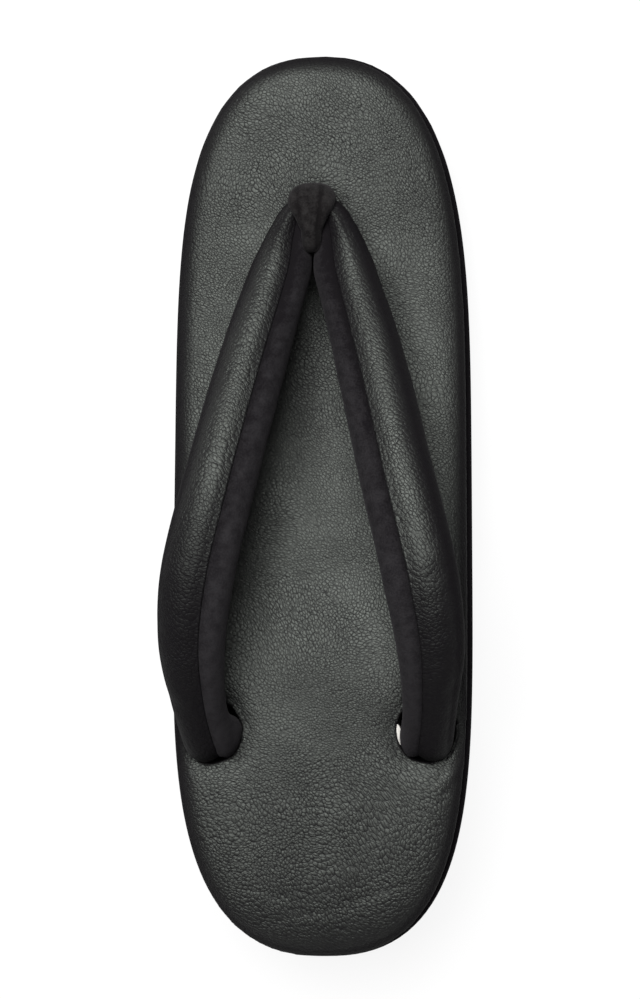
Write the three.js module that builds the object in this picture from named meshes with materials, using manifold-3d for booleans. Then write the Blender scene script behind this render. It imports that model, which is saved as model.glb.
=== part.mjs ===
// A zori sandal: an oval wedge sole with a padded top, and a stuffed V strap that a toe loop holds down
// in front.
// Units are millimetres. +X is the sandal's right, +Y points to the toe and +Z is up.
// The origin is on the floor, under the middle of the sole.

import * as THREE from "three";
import { mergeVertices } from "three/addons/utils/BufferGeometryUtils.js";
import Module from "manifold-3d";

const wasm = await Module();
wasm.setup();

// Sole, seen from above: a rounded oval, a little fuller at the heel than at the toe
const SOLE_LENGTH = 240;
const SOLE_WIDTH = 80;
const TOE_ROUNDNESS = 4.1;
const HEEL_ROUNDNESS = 4.6;
const SIDE_ROUNDNESS = 2.4;

// Sole, seen from the side
const HEEL_HEIGHT = 45;
const TOE_HEIGHT = 25;
const SLOPE_START_Y = -88;
const SLOPE_END_Y = 72;
const TOE_SPRING = 5;
const SPRING_START_Y = 62;
const TOP_SPRING_SHARE = 0.5;
const HEEL_ROLL = 3;
const HEEL_ROLL_START_Y = -96;

// Layers of the sole
const OUTSOLE_THICKNESS = 4;
const PAD_THICKNESS = 8;
const GAP = 0.3;

// Strap
const SEAM_TOP_TURN = 116;
const SEAM_UNDER_TURN = -62;
const SEAM_CREASE_SHARE = 0.15;
const LEATHER_CREASE_SPREAD = 24;
const LINING_CREASE_SPREAD = 13;
const LINING_THICKNESS = 1.3;
const LINING_MARGIN_TURN = 3;
const SECTION_ROUNDNESS = 2.2;

// Holes that the strap's ends and the toe loop go down through
const REAR_HOLE = { x: 28, y: -59.2, halfWidth: 7.8, halfLength: 8.2, depth: 14.4 };
const FRONT_HOLE = { x: 0, y: 76.9, halfWidth: 4.4, halfLength: 4.4, depth: 13.4 };

// How finely the curved skins are divided
const OUTLINE_POINTS = 52;
const END_CROWDING = 0.4;
const STATIONS_PER_ROW = 3;
const LEATHER_STEPS = 10;
const LINING_STEPS = 7;
const LOOP_POINTS = 24;
const HOLE_POINTS = 24;

const signedPower = (value, power) => Math.sign(value) * Math.abs(value) ** power;
const radians = THREE.MathUtils.degToRad;

// Sole shape

// The sole's outline, drawn in by `inset` all round.
class SoleOutline extends THREE.Curve {
  constructor(inset) {
    super();
    this.halfLength = SOLE_LENGTH / 2 - inset;
    this.halfWidth = SOLE_WIDTH / 2 - inset;
    this.arcLengthDivisions = 2000;
  }

  getPoint(share, target = new THREE.Vector3()) {
    const turn = 2 * Math.PI * share;
    const endRoundness = share < 0.5 ? TOE_ROUNDNESS : HEEL_ROUNDNESS;
    return target.set(
      this.halfWidth * signedPower(Math.cos(turn), 2 / SIDE_ROUNDNESS),
      this.halfLength * signedPower(Math.sin(turn), 2 / endRoundness),
      0,
    );
  }
}

// Points round the outline, closer together at the toe and the heel, where it bends.
function outlinePoints(inset) {
  const outline = new SoleOutline(inset);
  return Array.from({ length: OUTLINE_POINTS }, (_, step) => {
    const share = step / OUTLINE_POINTS;
    return outline.getPointAt(share + (END_CROWDING / (4 * Math.PI)) * Math.sin(4 * Math.PI * share));
  });
}

// Height of the outsole's underside: flat on the floor, and lifted under the toe.
function floorLine(y) {
  const share = Math.max(0, (y - SPRING_START_Y) / (SOLE_LENGTH / 2 - SPRING_START_Y));
  return TOE_SPRING * share ** 2;
}

// Height of the pad's top along the middle: level at the heel, a slope through the waist, and low at the
// toe.
function topLine(y) {
  const slope = 1 - THREE.MathUtils.smoothstep(y, SLOPE_START_Y, SLOPE_END_Y);
  const roll = Math.max(0, (HEEL_ROLL_START_Y - y) / (HEEL_ROLL_START_Y + SOLE_LENGTH / 2));
  const wedge = TOE_HEIGHT + (HEEL_HEIGHT - TOE_HEIGHT) * slope;
  return wedge + TOP_SPRING_SHARE * floorLine(y) - HEEL_ROLL * roll ** 2;
}

const outsoleTop = (y) => floorLine(y) + OUTSOLE_THICKNESS;
const bodyBottom = (y) => outsoleTop(y) + GAP;
const padBottom = (y) => topLine(y) - PAD_THICKNESS;
const bodyTop = (y) => padBottom(y) - GAP;

// Each layer's edge from its underside round to its top. `inset` is counted from the sole's outline, and a
// row stands `up` from the layer's underside or `down` from its top.
const PAD_EDGE = [
  { inset: 12, up: 0 },
  { inset: 4, up: 0 },
  { inset: 2, up: 0.9 },
  { inset: 1.1, up: 3.1 },
  { inset: 1.6, down: 3.2 },
  { inset: 3, down: 1.7 },
  { inset: 5.6, down: 0.6 },
  { inset: 11, down: 0 },
];
const BODY_EDGE = [
  { inset: 12, up: 0 },
  { inset: 4, up: 0 },
  { inset: 2.6, up: 1.2 },
  { inset: 1, down: 6 },
  { inset: 0, down: 2.2 },
  { inset: 0.4, down: 0.8 },
  { inset: 1.8, down: 0 },
  { inset: 12, down: 0 },
];
const OUTSOLE_EDGE = [
  { inset: 13, up: 0 },
  { inset: 4.2, up: 0 },
  { inset: 3.2, up: 1 },
  { inset: 3.2, down: 0.6 },
  { inset: 4, down: 0 },
  { inset: 13, down: 0 },
];

// Rings inside the edge, as shares of its size: many where the sole slopes, few on the flat underside
const SLOPED_RINGS = [0.82, 0.62, 0.42, 0.22, 0.06];
const FLAT_RINGS = [0.75, 0.45, 0.1];

// Skins and solids

// A closed skin through rings of points that turn anticlockwise about the way the rings advance. Both ends
// are closed with flat caps, laid out from the rings' flat outlines.
function loft(rings, firstOutline, lastOutline) {
  const count = rings[0].length;
  const positions = rings.flat().flatMap((point) => point.toArray());
  const index = [];
  for (let ring = 0; ring + 1 < rings.length; ring++) {
    for (let side = 0; side < count; side++) {
      const next = (side + 1) % count;
      const [a, b] = [ring * count + side, ring * count + next];
      const [c, d] = [b + count, a + count];
      index.push(a, b, c, a, c, d);
    }
  }
  const lastStart = (rings.length - 1) * count;
  for (const [a, b, c] of THREE.ShapeUtils.triangulateShape(firstOutline, [])) {
    index.push(a, c, b);
  }
  for (const [a, b, c] of THREE.ShapeUtils.triangulateShape(lastOutline, [])) {
    index.push(lastStart + a, lastStart + b, lastStart + c);
  }
  const geometry = new THREE.BufferGeometry();
  geometry.setAttribute("position", new THREE.Float32BufferAttribute(positions, 3));
  geometry.setIndex(index);
  return geometry;
}

function solidFrom(geometry) {
  const merged = mergeVertices(geometry, 1e-4);
  return new wasm.Manifold(
    new wasm.Mesh({
      numProp: 3,
      vertProperties: merged.attributes.position.array,
      triVerts: new Uint32Array(merged.index.array),
    }),
  );
}

function geometryFrom(solid) {
  const mesh = solid.getMesh();
  const geometry = new THREE.BufferGeometry();
  geometry.setAttribute("position", new THREE.BufferAttribute(mesh.vertProperties, 3));
  geometry.setIndex(new THREE.BufferAttribute(mesh.triVerts, 1));
  geometry.computeVertexNormals();
  return geometry;
}

const flat = (ring) => ring.map((point) => new THREE.Vector2(point.x, point.y));

// One layer of the sole between two height lines, with the edge that its rows give.
function soleLayer({ edgeRows, bottomLine, upperLine, bottomRings, topRings }) {
  const heightAt = (row, y) => ("up" in row ? bottomLine(y) + row.up : upperLine(y) - row.down);
  const edge = edgeRows.map((row) => ({ row, points: outlinePoints(row.inset) }));
  const ringOf = ({ row, points }, scale) =>
    points.map(({ x, y }) => new THREE.Vector3(scale * x, scale * y, heightAt(row, scale * y)));
  const rings = [
    ...bottomRings.toReversed().map((scale) => ringOf(edge[0], scale)),
    ...edge.map((item) => ringOf(item, 1)),
    ...topRings.map((scale) => ringOf(edge.at(-1), scale)),
  ];
  return solidFrom(loft(rings, flat(rings[0]), flat(rings.at(-1))));
}

// An upright oval plug, used to sink a hole into the sole from the pad's top.
function holePlug({ x, y, halfWidth, halfLength, depth }) {
  const ringAt = (z) =>
    Array.from({ length: HOLE_POINTS }, (_, step) => {
      const turn = (2 * Math.PI * step) / HOLE_POINTS;
      return new THREE.Vector3(x + halfWidth * Math.cos(turn), y + halfLength * Math.sin(turn), z);
    });
  const rings = [ringAt(topLine(y) - depth), ringAt(topLine(y) + depth)];
  return solidFrom(loft(rings, flat(rings[0]), flat(rings[1])));
}

const mirrored = (place) => ({ ...place, x: -place.x });
const HOLES = [REAR_HOLE, mirrored(REAR_HOLE), FRONT_HOLE];
const pierced = (solid) => HOLES.reduce((left, hole) => left.subtract(holePlug(hole)), solid);

// Strap

// The right half of the strap from the toe loop back to its hole. x and y place the middle of a section,
// `rise` is its height over the pad, `width` and `thick` are its full size, and `roll` tips its outer edge
// down, in degrees.
const STRAP_ROWS = [
  { x: 0, y: 76.9, rise: 13, width: 7.4, thick: 8.4, roll: 0 },
  { x: 4.4, y: 75.2, rise: 13.1, width: 8, thick: 8.6, roll: 2 },
  { x: 6.4, y: 70.4, rise: 13.6, width: 10.6, thick: 9.2, roll: 4 },
  { x: 8.5, y: 61, rise: 15.6, width: 15.3, thick: 10.4, roll: 8 },
  { x: 15, y: 37.5, rise: 21.5, width: 18, thick: 12, roll: 10 },
  { x: 22.7, y: 6, rise: 28, width: 19, thick: 12.2, roll: 11 },
  { x: 28.2, y: -18, rise: 27.4, width: 19.2, thick: 12.2, roll: 12 },
  { x: 30.4, y: -36, rise: 20.4, width: 17.4, thick: 11.6, roll: 14 },
  { x: 29.7, y: -50.6, rise: 11, width: 14.2, thick: 10.4, roll: 15 },
  { x: 28.5, y: -60.3, rise: 1.4, width: 13.2, thick: 11, roll: 12 },
  { x: 28.3, y: -62, rise: -6, width: 12.4, thick: 9.6, roll: 12 },
  { x: 28.2, y: -62.6, rise: -14, width: 11.6, thick: 8.6, roll: 12 },
];

const WHOLE_STRAP = [...STRAP_ROWS.slice(1).reverse().map(mirrored), ...STRAP_ROWS];
const strapLine = new THREE.CatmullRomCurve3(
  WHOLE_STRAP.map((row) => new THREE.Vector3(row.x, row.y, topLine(row.y) + row.rise)),
);
const strapSizes = new THREE.CatmullRomCurve3(
  WHOLE_STRAP.map((row) => new THREE.Vector3(row.width, row.thick, row.roll)),
);

// The strap's middle, its directions and its size at a share of its length. `out` points away from the foot
// across the strap, and `up` is square to the strap's face.
function strapStation(share) {
  const { x: width, y: thick, z: roll } = strapSizes.getPoint(share);
  const along = strapLine.getTangent(share);
  const level = new THREE.Vector3(-along.y, along.x, 0).normalize();
  const face = new THREE.Vector3().crossVectors(along, level);
  const out = level.clone().applyAxisAngle(along, -radians(roll));
  const up = face.clone().applyAxisAngle(along, -radians(roll));
  return { middle: strapLine.getPoint(share), out, up, width, thick };
}

const STATION_COUNT = (WHOLE_STRAP.length - 1) * STATIONS_PER_ROW;
const STATIONS = Array.from({ length: STATION_COUNT + 1 }, (_, step) =>
  strapStation(step / STATION_COUNT),
);

// A point of the strap's skin in its section, `depth` under the surface. The turn is 0 at the outer edge
// and 90 on top. The leather slopes gently down into the two seams, and the lining steeply.
function strapSkin({ width, thick }, turn, depth) {
  const onLeather = turn <= SEAM_TOP_TURN;
  const spread = onLeather ? LEATHER_CREASE_SPREAD : LINING_CREASE_SPREAD;
  const dip = (seam) => SEAM_CREASE_SHARE * thick * Math.exp(-(((turn - seam) / spread) ** 2));
  const sunk = depth + dip(SEAM_TOP_TURN) + dip(onLeather ? SEAM_UNDER_TURN : SEAM_UNDER_TURN + 360);
  const power = 2 / SECTION_ROUNDNESS;
  return new THREE.Vector2(
    (width / 2 - sunk) * signedPower(Math.cos(radians(turn)), power),
    (thick / 2 - sunk) * signedPower(Math.sin(radians(turn)), power),
  );
}

const turnsBetween = (start, end, steps) =>
  Array.from({ length: steps + 1 }, (_, step) => start + ((end - start) * step) / steps);
const LEATHER_TURNS = turnsBetween(SEAM_UNDER_TURN, SEAM_TOP_TURN, LEATHER_STEPS);
const LINING_TURNS = turnsBetween(
  SEAM_TOP_TURN + LINING_MARGIN_TURN,
  SEAM_UNDER_TURN + 360 - LINING_MARGIN_TURN,
  LINING_STEPS,
);

// The section of the stuffed leather strap, with a rebate on its inner side that the lining lies in.
const leatherSection = (station) => [
  ...LEATHER_TURNS.map((turn) => strapSkin(station, turn, 0)),
  ...LINING_TURNS.map((turn) => strapSkin(station, turn, LINING_THICKNESS + GAP)),
];

const liningSection = (station) => [
  ...LINING_TURNS.map((turn) => strapSkin(station, turn, 0)),
  ...LINING_TURNS.toReversed().map((turn) => strapSkin(station, turn, LINING_THICKNESS)),
];

// Room for the whole strap, with a gap all round it.
const clearSection = (station) => [
  ...LEATHER_TURNS.map((turn) => strapSkin(station, turn, -GAP)),
  ...LINING_TURNS.map((turn) => strapSkin(station, turn, -GAP)),
];

function strapSweep(sectionOf) {
  const outlines = STATIONS.map(sectionOf);
  const placed = ({ middle, out, up }, { x, y }) =>
    middle.clone().addScaledVector(out, x).addScaledVector(up, y);
  const rings = STATIONS.map((station, step) => outlines[step].map((point) => placed(station, point)));
  return solidFrom(loft(rings, outlines[0], outlines.at(-1)));
}

// Toe loop

// The loop as a bead round the strap's bend, with a narrow tongue behind it and a stem that goes down into
// the front hole. Each row is a level section: `rise` over the pad, its front and back edges in y, and its
// width.
const LOOP_ROWS = [
  { rise: -13, front: 80.5, back: 73.4, width: 7 },
  { rise: 0.5, front: 80.7, back: 73.2, width: 7.2 },
  { rise: 4, front: 81.5, back: 71.8, width: 8.4 },
  { rise: 8, front: 83, back: 70.2, width: 11 },
  { rise: 13, front: 83.8, back: 67, width: 13.2 },
  { rise: 17, front: 83.2, back: 65.2, width: 13.2 },
  { rise: 19.6, front: 81.6, back: 66.2, width: 11.4 },
  { rise: 20.8, front: 79.4, back: 71, width: 7.4 },
];
const LOOP_TONGUE_TAPER = 0.5;
const LOOP_TAPER_START = 0;
const LOOP_TAPER_END = 0.45;
const LOOP_FRONT_ROUNDNESS = 3;
const LOOP_BACK_ROUNDNESS = 5;

function toeLoopBead() {
  const base = topLine(FRONT_HOLE.y);
  const rings = LOOP_ROWS.map(({ rise, front, back, width }) =>
    Array.from({ length: LOOP_POINTS }, (_, step) => {
      const turn = (2 * Math.PI * step) / LOOP_POINTS;
      const power = 2 / (turn < Math.PI ? LOOP_FRONT_ROUNDNESS : LOOP_BACK_ROUNDNESS);
      const ahead = signedPower(Math.sin(turn), power);
      const behind = THREE.MathUtils.smoothstep(-ahead, LOOP_TAPER_START, LOOP_TAPER_END);
      const taper = 1 - LOOP_TONGUE_TAPER * behind;
      const x = (width / 2) * taper * signedPower(Math.cos(turn), power);
      return new THREE.Vector3(x, (front + back) / 2 + ((front - back) / 2) * ahead, base + rise);
    }),
  );
  return solidFrom(loft(rings, flat(rings[0]), flat(rings.at(-1))));
}

// Materials and the finished sandal

const LEATHER = { color: 0x1d1e1d, roughness: 0.5, metalness: 0 };
const VELVET = { color: 0x141316, roughness: 0.95, metalness: 0 };
const RUBBER = { color: 0x121212, roughness: 0.8, metalness: 0 };

function piece(name, solid, finish) {
  const mesh = new THREE.Mesh(geometryFrom(solid), new THREE.MeshStandardMaterial(finish));
  mesh.name = name;
  return mesh;
}

const outsole = soleLayer({
  edgeRows: OUTSOLE_EDGE,
  bottomLine: floorLine,
  upperLine: outsoleTop,
  bottomRings: FLAT_RINGS,
  topRings: FLAT_RINGS,
});
const soleBody = soleLayer({
  edgeRows: BODY_EDGE,
  bottomLine: bodyBottom,
  upperLine: bodyTop,
  bottomRings: FLAT_RINGS,
  topRings: SLOPED_RINGS,
});
const topPad = soleLayer({
  edgeRows: PAD_EDGE,
  bottomLine: padBottom,
  upperLine: topLine,
  bottomRings: SLOPED_RINGS,
  topRings: SLOPED_RINGS,
});

const sandal = new THREE.Group();
sandal.add(
  piece("outsole", outsole, RUBBER),
  piece("sole_body", pierced(soleBody), LEATHER),
  piece("top_pad", pierced(topPad), LEATHER),
  piece("strap_upper", strapSweep(leatherSection), LEATHER),
  piece("strap_lining", strapSweep(liningSection), VELVET),
  piece("toe_loop", toeLoopBead().subtract(strapSweep(clearSection)), VELVET),
);

export default sandal;
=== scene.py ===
import math

import bmesh
import bpy
from mathutils import Matrix, Quaternion, Vector, noise


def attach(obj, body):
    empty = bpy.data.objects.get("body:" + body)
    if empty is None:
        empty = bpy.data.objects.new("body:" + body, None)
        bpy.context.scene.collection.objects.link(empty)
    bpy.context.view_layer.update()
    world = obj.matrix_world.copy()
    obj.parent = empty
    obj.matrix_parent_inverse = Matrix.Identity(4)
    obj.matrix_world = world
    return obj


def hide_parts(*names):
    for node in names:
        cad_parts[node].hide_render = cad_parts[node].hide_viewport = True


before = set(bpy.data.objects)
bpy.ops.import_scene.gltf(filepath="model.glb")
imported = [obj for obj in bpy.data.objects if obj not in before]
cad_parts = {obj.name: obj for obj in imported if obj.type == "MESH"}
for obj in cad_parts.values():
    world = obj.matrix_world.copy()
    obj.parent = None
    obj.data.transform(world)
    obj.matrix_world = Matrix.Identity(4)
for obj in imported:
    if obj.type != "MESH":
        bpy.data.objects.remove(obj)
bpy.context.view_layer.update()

# Shapes are worked out in millimetres, and each finished mesh is scaled to metres.
# +X is the sandal's right, +Y points to the toe, and the floor is at z = 0.
MM = 0.001

# Sole, seen from above and from the side. A roundness of 2 is an ellipse, and a higher one is squarer.
SOLE_LENGTH = 240
SOLE_WIDTH = 80
TOE_ROUNDNESS = 4.1
HEEL_ROUNDNESS = 4.6
SIDE_ROUNDNESS = 2.4
HEEL_HEIGHT = 45
TOE_HEIGHT = 25
SLOPE_START_Y = -88
SLOPE_END_Y = 72
TOE_SPRING = 5
SPRING_START_Y = 62
TOP_SPRING_SHARE = 0.5
HEEL_ROLL = 3
HEEL_ROLL_START_Y = -96
OUTSOLE_THICKNESS = 4
PAD_THICKNESS = 8
GAP = 0.3

# Each layer's edge from its underside round to its top: how far a row lies in from the outline, whether it
# is counted from the layer's underside (0) or top (1), and how far it lies above that.
PAD_EDGE = (
    (12, 0, 0),
    (4, 0, 0),
    (2, 0, 0.9),
    (1.1, 0, 3.1),
    (1.6, 1, -3.2),
    (3, 1, -1.7),
    (5.6, 1, -0.6),
    (11, 1, 0),
)
BODY_EDGE = (
    (12, 0, 0),
    (4, 0, 0),
    (2.6, 0, 1.2),
    (1, 1, -6),
    (0, 1, -2.2),
    (0.4, 1, -0.8),
    (1.8, 1, 0),
    (12, 1, 0),
)
OUTSOLE_EDGE = ((13, 0, 0), (4.2, 0, 0), (3.2, 0, 1), (3.2, 1, -0.6), (4, 1, 0), (13, 1, 0))
# Rings across a layer's top and underside, as shares of its edge
INNER_RINGS = (0.9, 0.75, 0.6, 0.45, 0.3, 0.15, 0.04)

# Holes for the strap's ends and the toe loop: middle x and y, half width, half length and depth
REAR_HOLE = (28, -59.2, 7.8, 8.2, 14.4)
FRONT_HOLE = (0, 76.9, 4.4, 4.4, 13.4)

# The right half of the strap: x, y, rise over the pad, width, thickness and roll of each section
STRAP_ROWS = (
    (0, 76.9, 13, 7.4, 8.4, 0),
    (4.4, 75.2, 13.1, 8, 8.6, 2),
    (6.4, 70.4, 13.6, 10.6, 9.2, 4),
    (8.5, 61, 15.6, 15.3, 10.4, 8),
    (15, 37.5, 21.5, 18, 12, 10),
    (22.7, 6, 28, 19, 12.2, 11),
    (28.2, -18, 27.4, 19.2, 12.2, 12),
    (30.4, -36, 20.4, 17.4, 11.6, 14),
    (29.7, -50.6, 11, 14.2, 10.4, 15),
    (28.5, -60.3, 1.4, 13.2, 11, 12),
    (28.3, -62, -6, 12.4, 9.6, 12),
    (28.2, -62.6, -14, 11.6, 8.6, 12),
)
# Turns round the strap's section in degrees, 0 at its outer edge and 90 on top: where the seams lie, how far
# their creases spread, and the lining's margin
SEAM_TOP_TURN = 116
SEAM_UNDER_TURN = -62
SEAM_CREASE_SHARE = 0.15
LEATHER_CREASE_SPREAD = 24
LINING_CREASE_SPREAD = 13
SECTION_ROUNDNESS = 2.2
LINING_THICKNESS = 1.3
LINING_MARGIN_TURN = 1.2

# The toe loop's level sections: rise over the pad, front and back edge in y, and width
LOOP_ROWS = (
    (-13, 80.5, 73.4, 7),
    (0.5, 80.7, 73.2, 7.2),
    (4, 81.5, 71.8, 8.4),
    (8, 83, 70.2, 11),
    (13, 83.8, 67, 13.2),
    (17, 83.2, 65.2, 13.2),
    (19.6, 81.6, 66.2, 11.4),
    (20.8, 79.4, 71, 7.4),
)
# How much the loop narrows towards the tongue at its back, and where that starts and is complete, from -1 at
# the front edge to 1 at the back one
LOOP_TONGUE_TAPER = 0.58
LOOP_TAPER_START = -0.55
LOOP_TAPER_END = 0.4
LOOP_FRONT_ROUNDNESS = 3
LOOP_BACK_ROUNDNESS = 5

# Camera, in metres: above the sandal and to its right, with the toe leaning a little to the left
CAMERA_PLACE = Vector((0.062, 0.010, 0.685))
CAMERA_AIM = Vector((0.0005, 0.001, 0.035))
CAMERA_LENS = 89.5
CAMERA_CLIP_START = 0.01
TOE_LEAN = math.radians(0.8)


# Curves and outlines

TINY = 1e-6
FINE_STEPS_PER_POINT = 24


def clamped(share):
    return min(1.0, max(0.0, share))


def signed_power(value, power):
    return math.copysign(abs(value) ** power, value)


def smooth_step(value, low, high):
    share = clamped((value - low) / (high - low))
    return share * share * (3 - 2 * share)


def bump_curve(distance, spread):
    """1 in the middle, falling softly to 0 past `spread`."""
    return math.exp(-((distance / spread) ** 2))


def curve_point(points, share):
    """A point on the smooth curve through `points`, whose stretches take equal shares."""
    along = share * (len(points) - 1)
    index = min(int(along), len(points) - 2)
    weight = along - index
    start, end = points[index], points[index + 1]
    before = points[index - 1] if index else 2 * start - end
    after = points[index + 2] if index + 2 < len(points) else 2 * end - start
    # Square roots of the spans keep the curve from swinging out between uneven points
    step = [max((b - a).length, TINY) ** 0.5 for a, b in ((before, start), (start, end), (end, after))]
    leave = (start - before) / step[0] - (end - before) / (step[0] + step[1]) + (end - start) / step[1]
    arrive = (end - start) / step[1] - (after - start) / (step[1] + step[2]) + (after - end) / step[2]
    leave *= step[1]
    arrive *= step[1]
    bend = -3 * start + 3 * end - 2 * leave - arrive
    twist = 2 * start - 2 * end + leave + arrive
    return start + weight * (leave + weight * (bend + weight * twist))


def running_lengths(points):
    """How far along a line of points each of them lies."""
    lengths = [0.0]
    for a, b in zip(points, points[1:]):
        lengths.append(lengths[-1] + (b - a).length)
    return lengths


def floor_line(y):
    share = max(0.0, (y - SPRING_START_Y) / (SOLE_LENGTH / 2 - SPRING_START_Y))
    return TOE_SPRING * share**2


def top_line(y):
    slope = 1 - smooth_step(y, SLOPE_START_Y, SLOPE_END_Y)
    roll = max(0.0, (HEEL_ROLL_START_Y - y) / (HEEL_ROLL_START_Y + SOLE_LENGTH / 2))
    wedge = TOE_HEIGHT + (HEEL_HEIGHT - TOE_HEIGHT) * slope
    return wedge + TOP_SPRING_SHARE * floor_line(y) - HEEL_ROLL * roll**2


def outline_ring(inset, count):
    """Evenly spaced points round the sole's outline, drawn in by `inset`."""
    def at(turn):
        end_roundness = TOE_ROUNDNESS if turn < math.pi else HEEL_ROUNDNESS
        x = (SOLE_WIDTH / 2 - inset) * signed_power(math.cos(turn), 2 / SIDE_ROUNDNESS)
        y = (SOLE_LENGTH / 2 - inset) * signed_power(math.sin(turn), 2 / end_roundness)
        return Vector((x, y, 0))

    steps = FINE_STEPS_PER_POINT * count
    fine = [at(2 * math.pi * step / steps) for step in range(steps + 1)]
    lengths = running_lengths(fine)
    ring, step = [], 0
    for number in range(count):
        goal = lengths[-1] * number / count
        while lengths[step + 1] < goal:
            step += 1
        weight = (goal - lengths[step]) / max(lengths[step + 1] - lengths[step], TINY)
        ring.append(fine[step].lerp(fine[step + 1], weight))
    return ring


# Meshes

ROUND_OVER_FACTOR = 0.5


def ring_edges(bm, ring):
    return [bm.edges.get((a, b)) for a, b in zip(ring, ring[1:] + ring[:1])]


def extruded(bm, ring):
    """Draws a new ring out of a closed ring of vertices, and returns it in the same order."""
    made = bmesh.ops.extrude_edge_only(bm, edges=ring_edges(bm, ring))["geom"]
    fresh = {item for item in made if isinstance(item, bmesh.types.BMVert)}
    return [next(e.other_vert(v) for e in v.link_edges if e.other_vert(v) in fresh) for v in ring]


def skin_through(rings):
    """A closed skin through rings of points, each drawn out of the one before."""
    bm = bmesh.new()
    ring = bmesh.ops.create_circle(bm, segments=len(rings[0]), radius=1)["verts"]
    for number, points in enumerate(rings):
        if number:
            ring = extruded(bm, ring)
        for vert, point in zip(ring, points):
            vert.co = point
        if number in (0, len(rings) - 1):
            bmesh.ops.contextual_create(bm, geom=ring_edges(bm, ring))
    bmesh.ops.recalc_face_normals(bm, faces=bm.faces)
    return bm


def piece_from(name, bm):
    """A named object in metres, from a bmesh in millimetres."""
    bmesh.ops.scale(bm, vec=(MM, MM, MM), verts=bm.verts)
    mesh = bpy.data.meshes.new(name)
    bm.to_mesh(mesh)
    bm.free()
    mesh.shade_smooth()
    piece = bpy.data.objects.new(name, mesh)
    bpy.context.scene.collection.objects.link(piece)
    return piece


def settle(piece):
    """Works a piece's modifiers into its mesh."""
    shaped = piece.evaluated_get(bpy.context.evaluated_depsgraph_get())
    mesh = bpy.data.meshes.new_from_object(shaped)
    piece.modifiers.clear()
    rough, piece.data = piece.data, mesh
    bpy.data.meshes.remove(rough)
    mesh.name = piece.name


def mark_shade(piece, values):
    """Writes the painted shade at each vertex, from 0 to 1: how much duller and darker it is painted."""
    piece.data.attributes.new("shade", "FLOAT", "POINT").data.foreach_set("value", values)


def mark_shade_by_place(piece, shade):
    """Marks each vertex with what `shade` gives for its place in millimetres and its normal."""
    mark_shade(piece, [shade(vert.co / MM, vert.normal) for vert in piece.data.vertices])


def cut_with(piece, tool):
    """Takes the tool's solid out of the piece, and deletes the tool."""
    cut = piece.modifiers.new("cut", "BOOLEAN")
    cut.operation = "DIFFERENCE"
    cut.solver = "EXACT"
    cut.object = tool
    settle(piece)
    bpy.data.objects.remove(tool)


def soften(piece, voxel, passes):
    """Gives a piece an even skin of small faces, with its hard edges rounded over."""
    remesh = piece.modifiers.new("even_skin", "REMESH")
    remesh.mode = "VOXEL"
    remesh.voxel_size = voxel * MM
    remesh.use_smooth_shade = True
    smooth = piece.modifiers.new("round_over", "SMOOTH")
    smooth.factor = ROUND_OVER_FACTOR
    smooth.iterations = passes
    settle(piece)


def press(piece, relief):
    """Moves each vertex out along its normal, by the millimetres that `relief` gives for its place."""
    normals = [vert.normal.copy() for vert in piece.data.vertices]
    for vert, normal in zip(piece.data.vertices, normals):
        vert.co += normal * (relief(vert.co / MM, normal) * MM)
    piece.data.update()


# Sole

OUTLINE_POINTS = 220
ROWS_PER_EDGE_ROW = 4


def edge_rows(table):
    """The edge's table as a smooth curve, with several rows for each row of the table."""
    points = [Vector(row) for row in table]
    count = (len(points) - 1) * ROWS_PER_EDGE_ROW
    return [curve_point(points, number / count) for number in range(count + 1)]


def sole_layer(name, table, bottom_line, upper_line):
    """A layer of the sole between two lines, which give its underside and its top for each y."""
    rows = edge_rows(table)

    def ring(row, scale):
        inset, side, above = row
        points = []
        for point in outline_ring(inset, OUTLINE_POINTS):
            y = scale * point.y
            bottom = bottom_line(y)
            z = max(bottom, bottom + clamped(side) * (upper_line(y) - bottom) + above)
            points.append(Vector((scale * point.x, y, z)))
        return points

    rings = [ring(rows[0], scale) for scale in reversed(INNER_RINGS)]
    rings += [ring(row, 1) for row in rows]
    rings += [ring(rows[-1], scale) for scale in INNER_RINGS]
    return piece_from(name, skin_through(rings))


def mirrored(row):
    return (-row[0], *row[1:])


HOLES = (REAR_HOLE, mirrored(REAR_HOLE), FRONT_HOLE)
HOLE_POINTS = 48


def oval_bar(name, middle, half_sizes):
    """An upright bar of oval section."""
    bm = bmesh.new()
    bmesh.ops.create_cone(bm, cap_ends=True, segments=HOLE_POINTS, radius1=1, radius2=1, depth=2)
    bmesh.ops.scale(bm, vec=half_sizes, verts=bm.verts)
    bmesh.ops.translate(bm, vec=middle, verts=bm.verts)
    return piece_from(name, bm)


def hole_plug(hole):
    x, y, *half_sizes = hole
    return oval_bar("hole_plug", (x, y, top_line(y)), half_sizes)


def pierce(piece):
    for hole in HOLES:
        cut_with(piece, hole_plug(hole))


def from_hole(hole, place):
    """Distance from a hole's edge, below 0 inside the hole."""
    x, y, half_width, half_length, _ = hole
    reach = math.hypot((place.x - x) / half_width, (place.y - y) / half_length)
    return (reach - 1) * (half_width + half_length) / 2


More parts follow.
